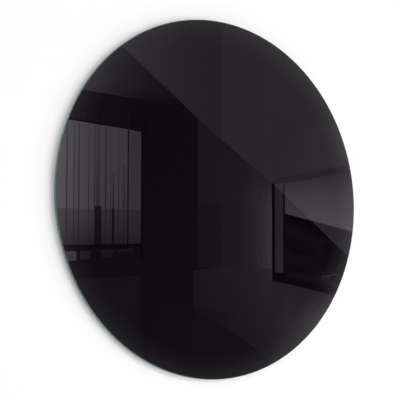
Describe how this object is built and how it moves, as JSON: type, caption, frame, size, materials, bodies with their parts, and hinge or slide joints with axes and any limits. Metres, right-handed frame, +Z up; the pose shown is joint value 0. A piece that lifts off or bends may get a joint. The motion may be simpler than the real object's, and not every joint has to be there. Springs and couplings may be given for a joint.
{
  "type": "round wall mirror",
  "caption": "Round frameless dark wall mirror in clear glass with green edges, hung by adhesive steel plates on eccentric wall hooks.",
  "frame": {"origin": "on the wall plane, midway between the two wall screws that carry the mirror", "axes": "+Z up, +Y into the wall, so the glass faces -Y and +X is to the right of someone who looks at it"},
  "size_m": [0.5999, 0.0614, 0.6],
  "materials": {
    "clear_glass": "polished clear float glass with a green edge",
    "dark_coat": "dark reflecting coat",
    "backing_paint": "dark grey backing paint",
    "safety_film": "grey vinyl safety film",
    "zinc_sheet": "zinc-plated sheet steel",
    "foam_tape": "white adhesive foam",
    "spacer_rubber": "black rubber",
    "hook_nylon": "moulded off-white nylon",
    "zinc_screw": "bright zinc plate",
    "plug_nylon": "moulded grey nylon"
  },
  "bodies": {
    "wall_fixings": {"wall_screw_left": "zinc_screw", "wall_screw_right": "zinc_screw", "screw_washer_left": "zinc_screw", "screw_washer_right": "zinc_screw", "wall_plug_left": "plug_nylon", "wall_plug_right": "plug_nylon"},
    "mirror": {"glass_disc": "clear_glass", "mirror_coat": "dark_coat", "backing_paint": "backing_paint", "safety_film": "safety_film", "hanger_plate_left": "zinc_sheet", "hanger_plate_right": "zinc_sheet", "plate_tape_left": "foam_tape", "plate_tape_right": "foam_tape", "spacer_left": "spacer_rubber", "spacer_right": "spacer_rubber", "spacer_tape_left": "foam_tape", "spacer_tape_right": "foam_tape"},
    "hook_left": {"eccentric_left": "hook_nylon"},
    "hook_right": {"eccentric_right": "hook_nylon"}
  },
  "joints": [
    {"name": "mirror_lift", "type": "slide", "parent": "wall_fixings", "child": "mirror", "axis": [0, 0, 1], "range_m": [0, 0.012]},
    {"name": "hook_turn_left", "type": "hinge", "parent": "wall_fixings", "child": "hook_left", "pos_m": [-0.15, 0, 0], "axis": [0, -1, 0], "continuous": true},
    {"name": "hook_turn_right", "type": "hinge", "parent": "wall_fixings", "child": "hook_right", "pos_m": [0.15, 0, 0], "axis": [0, -1, 0], "continuous": true}
  ]
}
